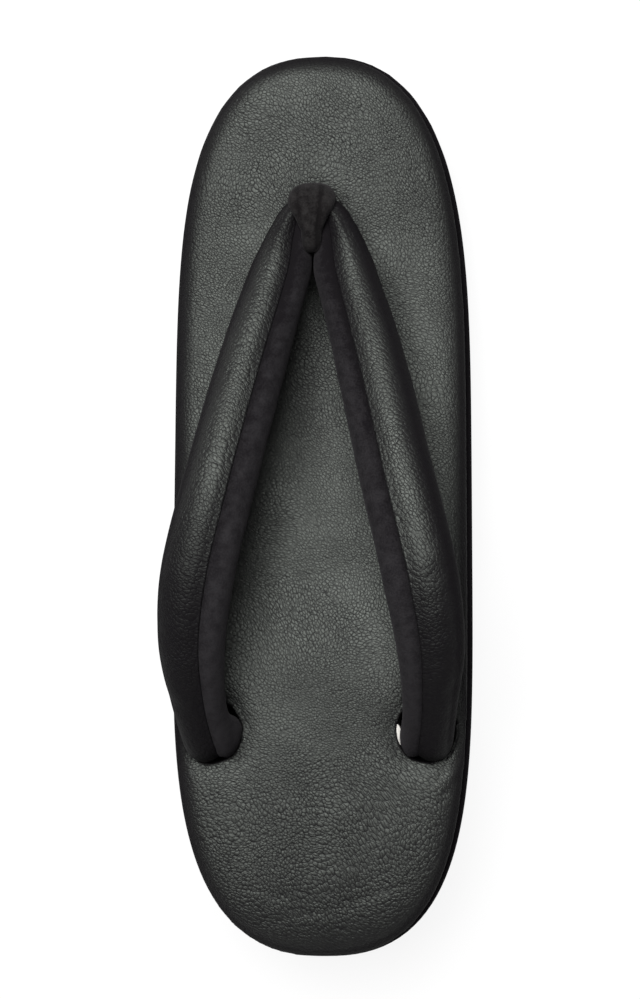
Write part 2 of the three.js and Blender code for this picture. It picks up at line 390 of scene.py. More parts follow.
# Soft creases in the pad's leather: start and end in x and y, depth and width
PAD_CREASES = (
    (31.5, -70.5, 35.5, -64.0, 0.22, 0.9),
    (29.5, -72.5, 36.0, -67.5, 0.20, 0.8),
    (32.0, -76.5, 36.4, -71.5, 0.16, 0.9),
    (-34.5, -70.0, -30.5, -69.0, 0.16, 0.8),
    (-14.0, -108.5, 2.0, -105.5, 0.14, 1.2),
    (6.0, -104.0, 22.0, -99.0, 0.12, 1.1),
    (-20.0, -99.5, -9.0, -102.5, 0.10, 1.1),
    (12.0, 104.5, 19.5, 98.0, 0.10, 1.0),
    (25.0, 92.0, 30.5, 80.0, 0.12, 1.1),
)
HOLE_LIP_DROP = 0.9
HOLE_LIP_REACH = 3.2
PAD_WAVE = 0.12
PAD_WAVE_LENGTH = 26
# The upward part of a normal from which the pad's relief starts, and from which it is complete
PAD_RELIEF_START = 0.2
PAD_RELIEF_FULL = 0.8


def crease_depth(creases, place):
    sunk = 0.0
    for x0, y0, x1, y1, depth, width in creases:
        start, end = Vector((x0, y0)), Vector((x1, y1))
        span = end - start
        share = (place.xy - start).dot(span) / span.length_squared
        nearest = start + span * clamped(share)
        sunk += depth * bump_curve((place.xy - nearest).length, width)
    return sunk


def pad_relief(place, normal):
    """Listed creases, soft lips round the holes and slow waves, on the pad's top only."""
    top = smooth_step(normal.z, PAD_RELIEF_START, PAD_RELIEF_FULL)
    if not top:
        return 0.0
    lips = sum(bump_curve(max(0.0, from_hole(hole, place)), HOLE_LIP_REACH) for hole in HOLES)
    waves = PAD_WAVE * noise.noise(place / PAD_WAVE_LENGTH)
    return top * (waves - HOLE_LIP_DROP * lips - crease_depth(PAD_CREASES, place))


def outsole_top(y):
    return floor_line(y) + OUTSOLE_THICKNESS


def body_bottom(y):
    return outsole_top(y) + GAP


def pad_bottom(y):
    return top_line(y) - PAD_THICKNESS


def body_top(y):
    return pad_bottom(y) - GAP


# Size of the pad's even faces, and how many times they are rounded over
PAD_VOXEL = 0.8
PAD_ROUNDING = 7
# The upward part of a normal where painted shade starts on the rim, and where it is full
RIM_SHADE_START = 0.96
RIM_SHADE_FULL = 0.66
RIM_SHADE = 0.85
# The band of painted shade along the toe's edge and the left one: its strength, and how far in from the
# outline it starts to clear and is clear
EDGE_SHADE = 0.97
EDGE_SHADE_FULL = 1.2
EDGE_SHADE_END = 7.4
# The patch of painted shadow between the strap's legs, nearer the left one: middle in x and y, reach in x and
# y, and strength
CLEFT_SHADE = (-3, 30, 7, 22, 0.42)


def edge_shade(place):
    """The band of painted shade, from how far a place lies in from the outline and which way the edge faces
    there.
    """
    end_roundness = TOE_ROUNDNESS if place.y > 0 else HEEL_ROUNDNESS
    x, y = 2 * place.x / SOLE_WIDTH, 2 * place.y / SOLE_LENGTH
    outward = Vector((
        SIDE_ROUNDNESS * signed_power(x, SIDE_ROUNDNESS - 1) * 2 / SOLE_WIDTH,
        end_roundness * signed_power(y, end_roundness - 1) * 2 / SOLE_LENGTH,
    ))
    steep = max(outward.length, TINY)
    inset = (1 - abs(x) ** SIDE_ROUNDNESS - abs(y) ** end_roundness) / steep
    facing = max(0.0, outward.y, -outward.x) / steep
    return EDGE_SHADE * facing * (1 - smooth_step(inset, EDGE_SHADE_FULL, EDGE_SHADE_END))


def pad_shade(place, normal):
    """Painted shade on the rolled rim and painted shadow on the patch between the strap's legs, duller and
    darker than the rest of the pad.
    """
    x, y, reach_x, reach_y, strength = CLEFT_SHADE
    cleft = strength * bump_curve(place.x - x, reach_x) * bump_curve(place.y - y, reach_y)
    rim = RIM_SHADE * (1 - smooth_step(normal.z, RIM_SHADE_FULL, RIM_SHADE_START))
    return max(cleft, rim, edge_shade(place))


# The pale edge of the core that shows on the inner side of the right hole: how far it stands into the hole
# and lies back from its middle, its half length, its depth under the pad's top and its thickness
CORE_EDGE = (1.4, 1.6, 3.2, 1.8, 2)


def core_edge():
    x, y, half_width, *_ = REAR_HOLE
    reach, back, half_length, depth, thickness = CORE_EDGE
    middle = (x - half_width, y - back, top_line(y) - depth - thickness / 2)
    return oval_bar("core_edge", middle, (reach, half_length, thickness / 2))


def take_in(piece, addition, material_index):
    """Makes another piece's mesh a part of the piece, with the material of that number."""
    bm = bmesh.new()
    bm.from_mesh(piece.data)
    before = len(bm.faces)
    bm.from_mesh(addition.data)
    bm.faces.ensure_lookup_table()
    for face in bm.faces[before:]:
        face.material_index = material_index
    bm.to_mesh(piece.data)
    bm.free()
    bpy.data.objects.remove(addition)


def make_pad():
    pad = sole_layer("pad_cover", PAD_EDGE, pad_bottom, top_line)
    pierce(pad)
    soften(pad, PAD_VOXEL, PAD_ROUNDING)
    press(pad, pad_relief)
    mark_shade_by_place(pad, pad_shade)
    take_in(pad, core_edge(), material_index=1)
    pad.data.materials.append(pad_leather())
    pad.data.materials.append(pale_core())
    return pad


GATHER_DEPTH = 0.16
GATHER_COUNT = 46
GATHER_HEIGHT = 9
GATHER_WANDER = 3
GATHER_WANDER_LENGTH = 14
# How far under its top the painted shade on the wedge's rim starts, and how far it takes to be full
BODY_RIM_DEPTH = 4.5
BODY_RIM_FADE = 1.5


def body_relief(place, normal):
    """Shallow gathers low on the round ends, where the leather is drawn under the wedge."""
    side = 1 - abs(normal.z)
    low = bump_curve(place.z - body_bottom(place.y), GATHER_HEIGHT)
    ends = smooth_step(abs(place.y), SOLE_LENGTH / 4, SOLE_LENGTH / 2)
    turn = math.atan2(place.x * SOLE_LENGTH / SOLE_WIDTH, place.y)
    wander = GATHER_WANDER * noise.noise(place / GATHER_WANDER_LENGTH)
    return GATHER_DEPTH * side * low * ends * math.sin(GATHER_COUNT * turn + wander)


def body_shade(place, _):
    """Painted shade, duller and darker, on the rim under the pad."""
    above = place.z - body_top(place.y) + BODY_RIM_DEPTH
    return smooth_step(above, 0, BODY_RIM_FADE)


def make_sole_body():
    body = sole_layer("wedge_cover", BODY_EDGE, body_bottom, body_top)
    press(body, body_relief)
    pierce(body)
    mark_shade_by_place(body, body_shade)
    body.data.materials.append(body_leather())
    return body


def make_outsole():
    outsole = sole_layer("outsole_sheet", OUTSOLE_EDGE, floor_line, outsole_top)
    outsole.data.materials.append(outsole_rubber())
    return outsole


# Strap

STATIONS_PER_ROW = 18
LEATHER_STEPS = 44
CORE_STEPS = 14
LINING_STEPS = 22

WHOLE_STRAP = [mirrored(row) for row in reversed(STRAP_ROWS[1:])] + list(STRAP_ROWS)
STRAP_MIDDLES = [Vector((x, y, top_line(y) + rise)) for x, y, rise, *_ in WHOLE_STRAP]
STRAP_SIZES = [Vector(row[3:]) for row in WHOLE_STRAP]
STATION_COUNT = (len(WHOLE_STRAP) - 1) * STATIONS_PER_ROW
TANGENT_STEP = 1e-4

# Creases across the strap's leather: leg (-1 left, 1 right), distance from the toe bend, turn round the
# section, slant in millimetres for each degree, half length in degrees, depth and width
STRAP_CREASES = (
    (-1, 101, 78, 0.05, 34, 0.12, 1.5),
    (-1, 108, 60, 0.07, 30, 0.16, 1.6),
    (-1, 114, 84, 0.04, 28, 0.12, 1.5),
    (-1, 121, 66, 0.06, 34, 0.16, 1.8),
    (-1, 129, 76, 0.05, 30, 0.14, 1.7),
    (-1, 138, 58, 0.05, 36, 0.18, 1.9),
    (1, 98, 82, 0.06, 30, 0.12, 1.5),
    (1, 105, 66, 0.08, 34, 0.16, 1.6),
    (1, 111, 88, 0.06, 26, 0.14, 1.5),
    (1, 117, 62, 0.07, 32, 0.16, 1.7),
    (1, 125, 78, 0.05, 32, 0.14, 1.7),
    (1, 134, 56, 0.05, 36, 0.18, 1.9),
)
# The raised shoulders beside a crease, as a share of its depth, and how many widths away from its middle they
# stand and it ends
CREASE_SHOULDER = 0.35
CREASE_SHOULDER_WIDTHS = 2.2
CREASE_END_WIDTHS = 6
# Puckers at the toe bend: depth, waves round the section, and how far away they start to fade and are gone
PUCKER_DEPTH = 0.12
PUCKER_WAVES = 9
PUCKER_START = 8
PUCKER_END = 30
# Uneven stuffing: height, and length along the strap and round it in degrees
STUFFING_UNEVEN = 0.22
STUFFING_LENGTH = 17
STUFFING_TURN = 70


def strap_station(share):
    middle = curve_point(STRAP_MIDDLES, share)
    low, high = max(0.0, share - TANGENT_STEP), min(1.0, share + TANGENT_STEP)
    along = (curve_point(STRAP_MIDDLES, high) - curve_point(STRAP_MIDDLES, low)).normalized()
    level = Vector((-along.y, along.x, 0)).normalized()
    width, thick, roll = curve_point(STRAP_SIZES, share)
    tip = Quaternion(along, -math.radians(roll))
    return {
        "middle": middle,
        "out": tip @ level,
        "up": tip @ along.cross(level),
        "width": width,
        "thick": thick,
    }


def strap_stations():
    """All stations from the left hole round the toe bend to the right hole, with their distance from it."""
    stations = [strap_station(number / STATION_COUNT) for number in range(STATION_COUNT + 1)]
    far = running_lengths([station["middle"] for station in stations])
    for station, length in zip(stations, far):
        station["from_bend"] = length - far[-1] / 2
        station["leg"] = 1 if station["from_bend"] > 0 else -1
    return stations


def leather_relief(station, turn):
    """Creases, puckers at the toe loop and uneven stuffing, as a height over the plain strap."""
    far = abs(station["from_bend"])
    lump = Vector((station["from_bend"] / STUFFING_LENGTH, turn / STUFFING_TURN, 0))
    height = STUFFING_UNEVEN * noise.noise(lump)
    for crease_leg, place, middle, slant, reach, depth, width in STRAP_CREASES:
        across = far - place - slant * (turn - middle)
        if crease_leg != station["leg"] or abs(across) > CREASE_END_WIDTHS * width:
            continue
        shoulders = CREASE_SHOULDER * bump_curve(abs(across) - CREASE_SHOULDER_WIDTHS * width, width)
        height += depth * bump_curve(turn - middle, reach) * (shoulders - bump_curve(across, width))
    pinch = 1 - smooth_step(far, PUCKER_START, PUCKER_END)
    return height + PUCKER_DEPTH * pinch * math.cos(math.radians(PUCKER_WAVES * turn))


def strap_skin(station, turn, depth):
    """A point of the strap's skin, `depth` under the surface. The turn is 0 at the outer edge, 90 on top."""
    on_leather = turn <= SEAM_TOP_TURN
    spread = LEATHER_CREASE_SPREAD if on_leather else LINING_CREASE_SPREAD
    under = SEAM_UNDER_TURN if on_leather else SEAM_UNDER_TURN + 360
    dips = bump_curve(turn - SEAM_TOP_TURN, spread) + bump_curve(turn - under, spread)
    sunk = depth + SEAM_CREASE_SHARE * station["thick"] * dips
    angle, power = math.radians(turn), 2 / SECTION_ROUNDNESS
    across = (station["width"] / 2 - sunk) * signed_power(math.cos(angle), power)
    above = (station["thick"] / 2 - sunk) * signed_power(math.sin(angle), power)
    return station["middle"] + station["out"] * across + station["up"] * above


def turns_between(start, end, steps):
    return [start + (end - start) * step / steps for step in range(steps + 1)]


# The turns of the leather's outer face, of the face that it has under the lining, and of the lining
LINING_SPAN = (SEAM_TOP_TURN + LINING_MARGIN_TURN, SEAM_UNDER_TURN + 360 - LINING_MARGIN_TURN)
LEATHER_TURNS = turns_between(SEAM_UNDER_TURN, SEAM_TOP_TURN, LEATHER_STEPS)
CORE_TURNS = turns_between(*LINING_SPAN, CORE_STEPS)
LINING_TURNS = turns_between(*LINING_SPAN, LINING_STEPS)

# Where the strap swells to fill the mouths of its holes: turn, spread in degrees and height, for each leg
MOUTH_SWELLS = {
    -1: ((95, 60, 1.2), (222, 50, 2.6)),
    1: ((95, 60, 1.2), (205, 50, 0.6)),
}
# How far to the front that reaches, the rise over the pad where it is greatest, and its reach up and down
MOUTH_FRONT_Y = -40
MOUTH_RISE = 0.5
MOUTH_REACH = 4.5
# Where the cloth of both legs is pressed together behind the toe loop: distance from the bend, reach, turn,
# spread in degrees and height
CLEFT_SWELL = (16, 9, 190, 50, 0.7)


def mouth_swell(station, turn):
    middle = station["middle"]
    if middle.y > MOUTH_FRONT_Y:
        return 0.0
    near = bump_curve(middle.z - top_line(middle.y) - MOUTH_RISE, MOUTH_REACH)
    swells = MOUTH_SWELLS[station["leg"]]
    return near * sum(height * bump_curve(turn - at, spread) for at, spread, height in swells)


def cleft_swell(station, turn):
    far, reach, at, spread, height = CLEFT_SWELL
    return height * bump_curve(abs(station["from_bend"]) - far, reach) * bump_curve(turn - at, spread)


# How steeply the leather's relief rises beside a seam, where it has none
RELIEF_RISE = 4


def leather_ring(station):
    ring = []
    for turn in LEATHER_TURNS:
        inside = math.sin(math.pi * (turn - SEAM_UNDER_TURN) / (SEAM_TOP_TURN - SEAM_UNDER_TURN))
        height = leather_relief(station, turn) * min(1, RELIEF_RISE * inside) + mouth_swell(station, turn)
        ring.append(strap_skin(station, turn, -height))
    return ring + [strap_skin(station, turn, LINING_THICKNESS + GAP) for turn in CORE_TURNS]


# The lining's shallow folds: depth, length along the strap and round it in degrees, and where they are taken
# from in the noise, so that they differ from the leather's
LINING_FOLD = 0.14
LINING_FOLD_LENGTH = 11
LINING_FOLD_TURN = 45
LINING_FOLD_LAYER = 5


def lining_ring(station):
    ring = []
    for turn in LINING_TURNS:
        fold = Vector((station["from_bend"] / LINING_FOLD_LENGTH, turn / LINING_FOLD_TURN, LINING_FOLD_LAYER))
        swell = mouth_swell(station, turn) + cleft_swell(station, turn)
        ring.append(strap_skin(station, turn, LINING_FOLD * noise.noise(fold) - swell))
    return ring + [strap_skin(station, turn, LINING_THICKNESS) for turn in reversed(LINING_TURNS)]


# The line of painted shade along the seams: its spread in degrees, how much wider it is at the toe bend and
# how far from there it narrows, its strength far from the bend, and how far it takes to fade to that
SEAM_TURNS = (SEAM_TOP_TURN, SEAM_UNDER_TURN, SEAM_UNDER_TURN + 360)
SEAM_SHADE_SPREAD = 9
SEAM_GAPE = 2.2
SEAM_GAPE_REACH = 30
SEAM_SHADE_FAR = 0.35
SEAM_SHADE_FADE = 55
# The painted shade on the outer flanks: their strength, the turns up to which each leg's is shaded and from
# which it is clear, and the turns underneath up to which it is clear and from which it is shaded
FLANK_SHADE = 0.95
FLANK_TURNS = {-1: (30, 72), 1: (43, 87)}
FLANK_UNDER_TURNS = (-40, -12)
# The painted shade at the toe bend: its strength, and how far from the bend it starts to clear and is clear
BEND_SHADE = 0.65
BEND_SHADE_FULL = 9
BEND_SHADE_END = 22
# Where the painted shade on each leg starts towards its hole, where that is complete, and how strong it is
# there
REAR_SHADES = {-1: (60, 112, 0.8), 1: (76, 126, 0.75)}


def seam_shade(station, turn):
    """Painted shade, highest on a seam and falling off beside it. The seams are deeper and gape more towards
    the toe bend.
    """
    spread = SEAM_SHADE_SPREAD * (1 + SEAM_GAPE * bump_curve(station["from_bend"], SEAM_GAPE_REACH))
    deep = SEAM_SHADE_FAR + (1 - SEAM_SHADE_FAR) * bump_curve(station["from_bend"], SEAM_SHADE_FADE)
    return deep * bump_curve(min(abs(turn - seam) for seam in SEAM_TURNS), spread)


def leather_shade(station, turn):
    """Painted shade on the seams, the outer flank and both ends, duller and darker than the rest of the
    strap's top.
    """
    far = abs(station["from_bend"])
    flank = FLANK_SHADE * (1 - smooth_step(turn, *FLANK_TURNS[station["leg"]]))
    flank *= smooth_step(turn, *FLANK_UNDER_TURNS)
    bend = BEND_SHADE * (1 - smooth_step(far, BEND_SHADE_FULL, BEND_SHADE_END))
    rear_start, rear_full, rear_shade = REAR_SHADES[station["leg"]]
    rear = rear_shade * smooth_step(far, rear_start, rear_full)
    return max(seam_shade(station, turn), flank, bend, rear)


def clear_ring(station):
    """The whole strap's section with a gap round it, for the room it takes inside the toe loop."""
    turns = turns_between(SEAM_UNDER_TURN, SEAM_UNDER_TURN + 360, LEATHER_STEPS + CORE_STEPS)
    return [strap_skin(station, turn, -GAP) for turn in turns[:-1]]


def make_strap():
    stations = strap_stations()
    strap = piece_from("strap_cover", skin_through([leather_ring(station) for station in stations]))
    turns = LEATHER_TURNS + CORE_TURNS
    mark_shade(strap, [leather_shade(station, turn) for station in stations for turn in turns])
    strap.data.materials.append(strap_leather())
    return strap


def make_lining():
    stations = strap_stations()
    lining = piece_from("strap_facing", skin_through([lining_ring(station) for station in stations]))
    turns = LINING_TURNS + LINING_TURNS[::-1]
    mark_shade(lining, [seam_shade(station, turn) for station in stations for turn in turns])
    lining.data.materials.append(velvet())
    return lining


# Toe loop

LOOP_POINTS = 64
LOOP_RINGS = 40
LOOP_VOXEL = 0.4
LOOP_ROUNDING = 8
# How far from its bend the strap is taken out of the loop
LOOP_STRAP_REACH = 40
# Folds that run from the loop's front to its back: x at the front, x at the back, depth and width
LOOP_FOLDS = (
    (3.0, 1.9, 0.55, 0.7),
    (-3.6, -2.2, 0.30, 0.8),
    (0.4, 0.2, 0.14, 1.4),
)
# The section that the folds are laid out on, the upward part of a normal where they start and are complete,
# how dark the painted shade in them is, and the depth at which it is that dark
LOOP_FOLD_ROW = LOOP_ROWS[4]
LOOP_FOLD_START = -0.1
LOOP_FOLD_FULL = 0.5
LOOP_FOLD_SHADE = 0.9
LOOP_SHADE_DEPTH = 0.55


def loop_fold(place, normal):
    """How deep the folds over the top of the loop are."""
    _, front_y, back_y, _ = LOOP_FOLD_ROW
    top = smooth_step(normal.z, LOOP_FOLD_START, LOOP_FOLD_FULL)
    back = smooth_step(-place.y, -front_y, -back_y)
    sunk = 0.0
    for front_x, back_x, depth, width in LOOP_FOLDS:
        sunk += depth * bump_curve(place.x - front_x - (back_x - front_x) * back, width)
    return top * sunk


def loop_relief(place, normal):
    return -loop_fold(place, normal)


# Painted shade in the loop's folds, darkest where they are deepest
def loop_shade(place, normal):
    return LOOP_FOLD_SHADE * min(1.0, loop_fold(place, normal) / LOOP_SHADE_DEPTH)


def loop_rings():
    base = top_line(FRONT_HOLE[1])
    rows = [Vector(row[1:]) for row in LOOP_ROWS]
    rises = [Vector((row[0], 0, 0)) for row in LOOP_ROWS]
    rings = []
    for number in range(LOOP_RINGS + 1):
        front, back, width = curve_point(rows, number / LOOP_RINGS)
        z = base + curve_point(rises, number / LOOP_RINGS).x
        ring = []
        for step in range(LOOP_POINTS):
            turn = 2 * math.pi * step / LOOP_POINTS
            power = 2 / (LOOP_FRONT_ROUNDNESS if turn < math.pi else LOOP_BACK_ROUNDNESS)
            ahead = signed_power(math.sin(turn), power)
            taper = 1 - LOOP_TONGUE_TAPER * smooth_step(-ahead, LOOP_TAPER_START, LOOP_TAPER_END)
            x = width / 2 * taper * signed_power(math.cos(turn), power)
            ring.append(Vector((x, (front + back) / 2 + (front - back) / 2 * ahead, z)))
        rings.append(ring)
    return rings


def make_toe_loop():
    loop = piece_from("toe_loop_cloth", skin_through(loop_rings()))
    near = [s for s in strap_stations() if abs(s["from_bend"]) < LOOP_STRAP_REACH]
    cut_with(loop, piece_from("strap_room", skin_through([clear_ring(s) for s in near])))
    soften(loop, LOOP_VOXEL, LOOP_ROUNDING)
    mark_shade_by_place(loop, loop_shade)
    press(loop, loop_relief)
    loop.data.materials.append(loop_cloth())
    return loop


# Materials

CLOUD_ROUGHNESS = 0.55
CLOUD_MEAN = 0.5
CELL_RANDOMNESS = 0.9
PEBBLE_DROP = 1.5
FURROW_WIDTH = 0.17


class Wire:
    """A value in a material. Python's operators on it add Math nodes."""

    def __init__(self, finish, socket):
        self.finish = finish
        self.socket = socket

    def math(self, operation, *values):
        return self.finish.node("ShaderNodeMath", {"operation": operation}, dict(enumerate(values)))

    def __add__(self, other):
        return self.math("ADD", self, other)

    def __radd__(self, other):
        return self.math("ADD", other, self)

    def __sub__(self, other):
        return self.math("SUBTRACT", self, other)

    def __rsub__(self, other):
        return self.math("SUBTRACT", other, self)

    def __mul__(self, other):
        return self.math("MULTIPLY", self, other)

    def __rmul__(self, other):
        return self.math("MULTIPLY", other, self)

    def __rtruediv__(self, other):
        return self.math("DIVIDE", other, self)

    def smooth(self, low, high):
        """0 up to `low`, 1 from `high`, with a soft rise between."""
        sockets = {"Value": self, "From Min": low, "From Max": high}
        return self.finish.node("ShaderNodeMapRange", {"interpolation_type": "SMOOTHSTEP"}, sockets)


class Finish:
    """A material that is being put together from nodes."""

    def __init__(self, name):
        self.material = bpy.data.materials.new(name)
        self.material.use_nodes = True
        self.tree = self.material.node_tree
        self.tree.nodes.clear()

    def node(self, kind, settings, sockets, output=0):
        made = self.tree.nodes.new(kind)
        for name, value in settings.items():
            setattr(made, name, value)
        for key, value in sockets.items():
            if isinstance(value, Wire):
                self.tree.links.new(value.socket, made.inputs[key])
            else:
                made.inputs[key].default_value = value
        return Wire(self, made.outputs[output])

    def vector(self, operation, sockets):
        return self.node("ShaderNodeVectorMath", {"operation": operation}, sockets)

    def place(self):
        """The place on the sandal, in millimetres."""
        metres = self.node("ShaderNodeTexCoord", {}, {}, "Object")
        return self.vector("SCALE", {0: metres, "Scale": 1 / MM})

    def along_y(self, place):
        """The y of a place, which grows towards the toe."""
        return self.node("ShaderNodeSeparateXYZ", {}, {0: place}, "Y")

    def turned(self, place, degrees, size):
        """The place seen along a turned pattern, whose repeats are `size` millimetres long, wide and high."""
        sockets = {"Vector": place, "Rotation": (0, 0, math.radians(degrees)), "Scale": size}
        return self.node("ShaderNodeMapping", {"vector_type": "TEXTURE"}, sockets)

    def mark(self, name):
        """A value that the mesh carries at each vertex, 0 where it has none."""
        return self.node("ShaderNodeAttribute", {"attribute_name": name}, {}, "Fac")

    def cloud(self, place, size, detail=2.0, output=0):
        """Soft noise with lumps of about `size` millimetres."""
        sockets = {"Vector": place, "Scale": 1 / size, "Detail": detail, "Roughness": CLOUD_ROUGHNESS}
        return self.node("ShaderNodeTexNoise", {"noise_dimensions": "3D"}, sockets, output)

    def shaken(self, place, size, reach):
        """The place moved about by up to about `reach` millimetres, so that a pattern on it wanders."""
        lumps = self.cloud(place, size, output=1)
        centred = self.vector("SUBTRACT", {0: lumps, 1: (CLOUD_MEAN, CLOUD_MEAN, CLOUD_MEAN)})
        return self.vector("MULTIPLY_ADD", {0: centred, 1: (2 * reach, 2 * reach, 2 * reach), 2: place})

    def cells(self, place, feature, scale=1.0):
        """A measure of a pattern of uneven cells, which are 1 wide at a scale of 1."""
        sockets = {"Vector": place, "Scale": scale, "Randomness": CELL_RANDOMNESS}
        return self.node("ShaderNodeTexVoronoi", {"feature": feature}, sockets)

    def pebbles(self, place, scale=1.0):
        """Domed pebbles side by side, 1 on top and about 0 at their edges."""
        away = self.cells(place, "F1", scale)
        return 1 - PEBBLE_DROP * away * away

    def furrows(self, place):
        """The thin creases between the same pebbles, 1 along their edges."""
        return 1 - self.cells(place, "DISTANCE_TO_EDGE").smooth(0.0, FURROW_WIDTH)

    def blend(self, share, low, high):
        """A colour between `low` and `high`."""
        settings = {"data_type": "RGBA"}
        return self.node("ShaderNodeMix", settings, {0: share, 6: (*low, 1), 7: (*high, 1)}, 2)

    def normal(self, height):
        """A normal from a height in millimetres."""
        return self.node("ShaderNodeBump", {}, {"Strength": 1.0, "Distance": MM, "Height": height})

    def skin(self, sockets):
        return self.node("ShaderNodeBsdfPrincipled", {}, sockets)

    def done(self, shader):
        output = self.tree.nodes.new("ShaderNodeOutputMaterial")
        self.tree.links.new(shader.socket, output.inputs["Surface"])
        return self.material


# Leather's colour in its hollows and on its worn tops, and its gloss where it is glossy and in the dull,
# darker copy that painted shade mixes in
LEATHER_LOW = (0.0045, 0.0037, 0.0047)
LEATHER_HIGH = (0.0080, 0.0080, 0.0075)
LEATHER_SHEEN = (0.925, 1.0, 0.915, 1)
GLOSSY_SPECULAR = 0.5
SHADED_SPECULAR = 0.07
SHADED_ROUGHNESS = 0.93
# Its grain, in millimetres and degrees: the point that the rows are laid from and their slant, the y where
# the heel's larger grain starts and is largest, the lengths over which rows and pebbles wander and how far,
# the stretch of a pebble and the share of its furrow, and the sizes and heights of the other forms
GRAIN_MIDDLE = (0, -70, 0)
GRAIN_SLANT = -40
HEEL_GRAIN_START_Y = -45
HEEL_GRAIN_FULL_Y = -95
ROW_WANDER = (45, 9)
PEBBLE_WANDER = (1.8, 0.4)
PEBBLE_STRETCH = (1.4, 1, 1)
FURROW_SHARE = 0.45
WRINKLE_SIZE = (2.2, 0.8, 0.8)
WRINKLE_HEIGHT = 0.08
LUMP_SIZE = 1.9
LUMP_HEIGHT = 0.10
PORE_SIZE = 0.3
PORE_HEIGHT = 0.02
SWELL_SIZE = 12
SWELL_HEIGHT = 0.03
# How strongly the grain stands out: everywhere, more in patches of that size, and more at the heel
LOUD = 0.8
LOUD_PATCH = 22
LOUD_PATCH_SPAN = (0.35, 0.65)
LOUD_PATCH_GAIN = 0.3
LOUD_HEEL_GAIN = 0.25
# What pebbles and lumps add to its wear, which is paler, what furrows take from it as wear and painted shade,
# how much painted shade darkens it, and what furrows, swells and pores add to its roughness
WORN_PEBBLE = 0.7
WORN_LUMP = 0.6
FURROW_WEAR_AND_SHADE = -0.2
PAINTED_SHADE_DARKENING = -0.8
ROUGH_FURROW = 0.06
ROUGH_SWELL = 0.1
ROUGH_PORE = 0.12


def leather(name, pebble, heel_growth, depth, gloss, least_shaded_mix):
    """Black grained leather: pebbles and wrinkles in slanting rows, fine pores, and a dull, darker copy mixed
    in where painted shade is marked.
    """
    finish = Finish(name)
    place = finish.place()
    shade = finish.mark("shade")
    heel = 1 - finish.along_y(place).smooth(HEEL_GRAIN_FULL_Y, HEEL_GRAIN_START_Y)
    loose = finish.shaken(finish.shaken(place, *ROW_WANDER), *PEBBLE_WANDER)
    centred = finish.vector("SUBTRACT", {0: loose, 1: GRAIN_MIDDLE})
    spread = 1 / (pebble * (1 + heel_growth * heel))
    laid = finish.turned(finish.vector("SCALE", {0: centred, "Scale": spread}), GRAIN_SLANT, PEBBLE_STRETCH)
    dome = finish.pebbles(laid)
    furrow = finish.furrows(laid)
    wrinkle = finish.cloud(finish.turned(loose, GRAIN_SLANT, WRINKLE_SIZE), 1.0, 3.0)
    lumps = finish.cloud(place, LUMP_SIZE)
    pores = finish.cloud(place, PORE_SIZE, 1.0)
    swells = finish.cloud(place, SWELL_SIZE)
    patches = finish.cloud(place, LOUD_PATCH).smooth(*LOUD_PATCH_SPAN)
    loud = LOUD + LOUD_PATCH_GAIN * patches + LOUD_HEEL_GAIN * heel
    grain = loud * (depth * (dome - FURROW_SHARE * furrow) + WRINKLE_HEIGHT * wrinkle)
    height = grain + LUMP_HEIGHT * lumps + PORE_HEIGHT * pores + SWELL_HEIGHT * swells
    wear_and_furrow_shade = WORN_PEBBLE * dome + WORN_LUMP * (lumps - CLOUD_MEAN) + FURROW_WEAR_AND_SHADE * furrow
    # Painted shade, where marked and partly in the furrows, darkens the colour
    colour = finish.blend(wear_and_furrow_shade.smooth(0.0, 1.0) * (1 + PAINTED_SHADE_DARKENING * shade), LEATHER_LOW, LEATHER_HIGH)
    uneven = ROUGH_SWELL * (swells - CLOUD_MEAN)
    normal = finish.normal(height)
    glossy = finish.skin({
        "Base Color": colour,
        "Roughness": gloss + ROUGH_FURROW * furrow + uneven + ROUGH_PORE * (pores - CLOUD_MEAN),
        "Specular IOR Level": GLOSSY_SPECULAR,
        "Specular Tint": LEATHER_SHEEN,
        "Normal": normal,
    })
    # A dull, low-specular copy, which the marked painted shade mixes in
    shaded_skin = finish.skin({
        "Base Color": colour,
        "Roughness": SHADED_ROUGHNESS + uneven,
        "Specular IOR Level": SHADED_SPECULAR,
        "Normal": normal,
    })
    share = least_shaded_mix + (1 - least_shaded_mix) * shade
    return finish.done(finish.node("ShaderNodeMixShader", {}, {0: share, 1: glossy, 2: shaded_skin}))


def pad_leather():
    return leather("grained_leather", pebble=0.68, heel_growth=0.25, depth=0.085, gloss=0.51, least_shaded_mix=0.0)


def body_leather():
    return leather("wrapped_leather", pebble=0.75, heel_growth=0.0, depth=0.07, gloss=0.58, least_shaded_mix=0.3)


def strap_leather():
    return leather("strap_leather", pebble=0.86, heel_growth=0.0, depth=0.085, gloss=0.48, least_shaded_mix=0.0)


# Cloth, in millimetres: the size of its fibres, the length over which they wander and how far, the y where it
# starts to pale towards the rear and is palest, the height of its brushed patches, and the tint of its sheen
FIBRE_SIZE = 0.45
FIBRE_WANDER = (1.2, 0.3)
PALE_START_Y = 20
PALE_FULL_Y = -60
BRUSHED_HEIGHT = 0.12
CLOTH_SHEEN = (0.55, 0.53, 0.56, 1)
# How pale it is from its fibres and brushed patches together and at the rear, and how much painted shade
# darkens it
PALE_NAP = 0.6
PALE_NAP_SPAN = (0.3, 0.9)
PALE_REAR = 0.4
CLOTH_PAINTED_SHADE = -0.9
VELVET_COLOURS = ((0.0048, 0.0040, 0.0049), (0.0180, 0.0168, 0.0183))
LOOP_COLOURS = ((0.0052, 0.0045, 0.0047), (0.0200, 0.0188, 0.0186))


